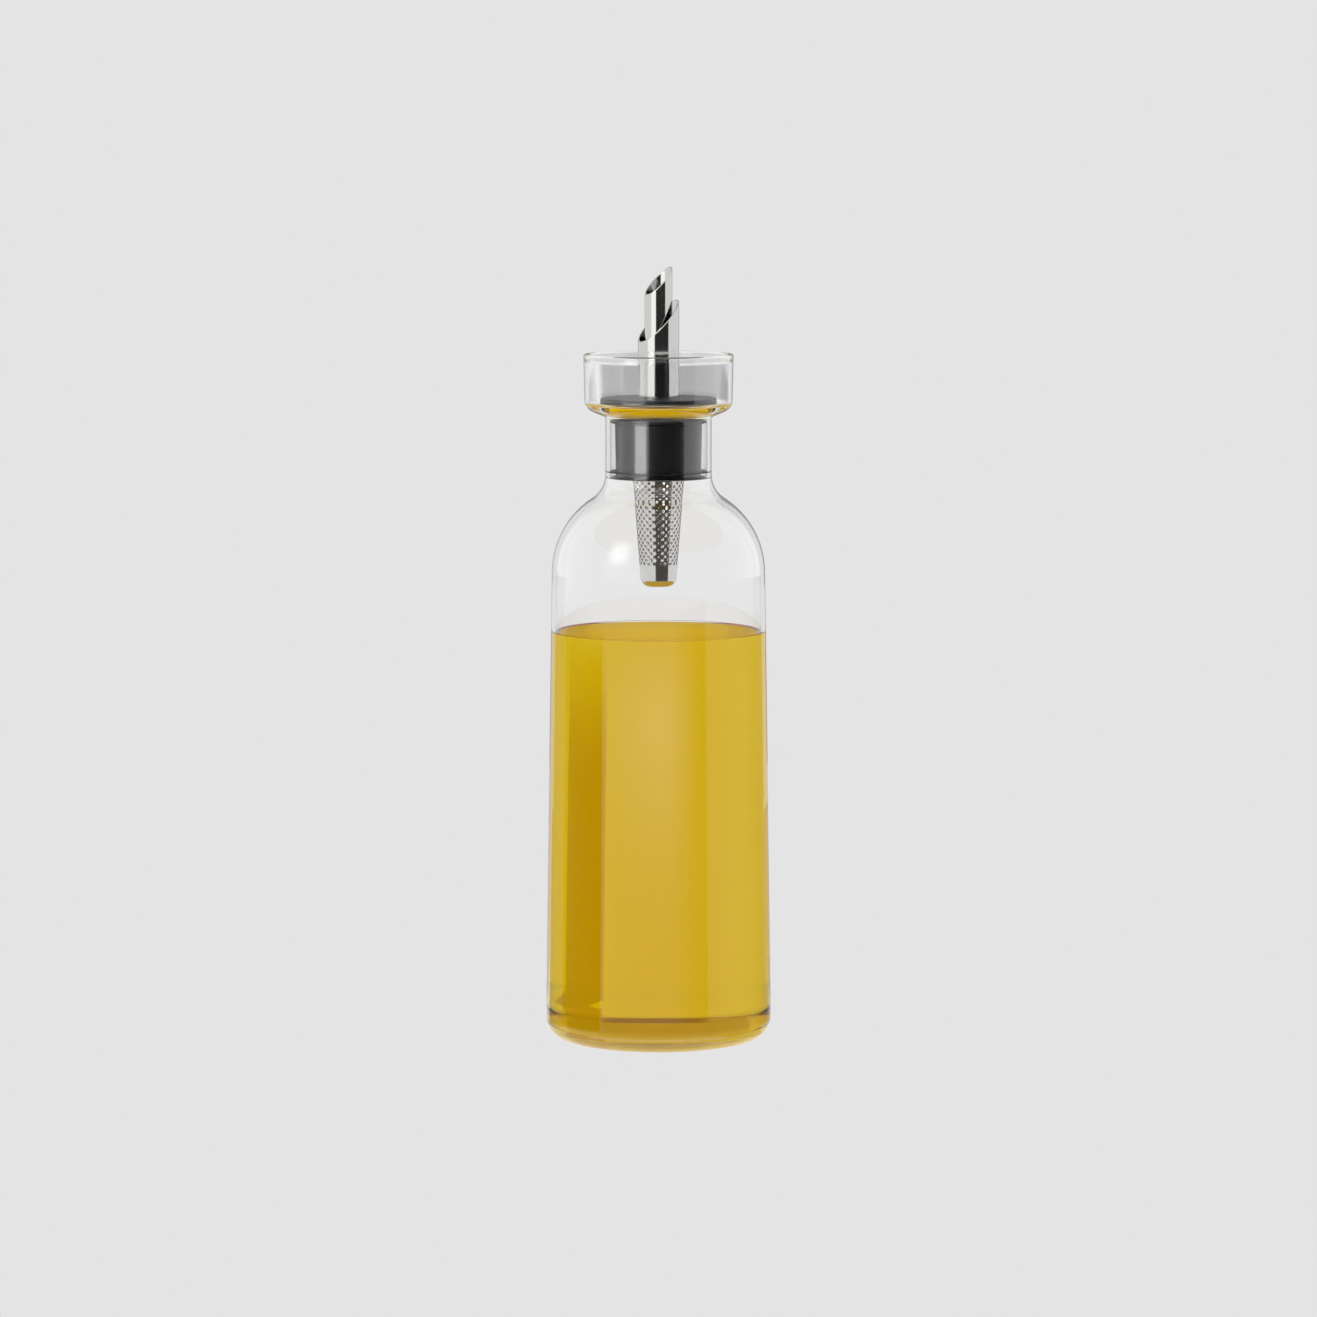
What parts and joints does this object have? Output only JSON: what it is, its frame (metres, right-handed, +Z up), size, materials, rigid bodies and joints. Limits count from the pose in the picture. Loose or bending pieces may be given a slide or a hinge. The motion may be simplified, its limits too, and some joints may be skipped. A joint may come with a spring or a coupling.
{
  "type": "oil and vinegar dispenser",
  "caption": "Clear glass oil and vinegar bottle with a round shoulder and drip cup, closed by a silicone stopper with a slant-cut double steel spout and a hanging perforated strainer.",
  "frame": {"origin": "middle of the base, on the surface that the bottle stands on", "axes": "+Z up along the bottle's axis, +X the way the spout's high tip points"},
  "size_m": [0.074, 0.074, 0.253],
  "materials": {
    "clear_glass": "polished",
    "dark_silicone": "satin",
    "polished_steel": "polished"
  },
  "bodies": {
    "bottle": {"glass_bottle": "clear_glass"},
    "stopper": {"silicone_stopper": "dark_silicone"},
    "spout": {"drip_sleeve": "polished_steel", "pour_tube": "polished_steel", "upper_spacer": "polished_steel", "lower_spacer": "polished_steel"},
    "strainer": {"strainer_basket": "polished_steel"}
  },
  "joints": [
    {"name": "pourer_lift", "type": "slide", "parent": "bottle", "child": "stopper", "axis": [0, 0, 1], "range_m": [0, 0.09]},
    {"name": "spout_turn", "type": "hinge", "parent": "stopper", "child": "spout", "pos_m": [0, 0, 0.2], "axis": [0, 0, 1], "continuous": true},
    {"name": "strainer_pull", "type": "slide", "parent": "stopper", "child": "strainer", "axis": [0, 0, -1], "range_m": [0, 0.012]}
  ]
}
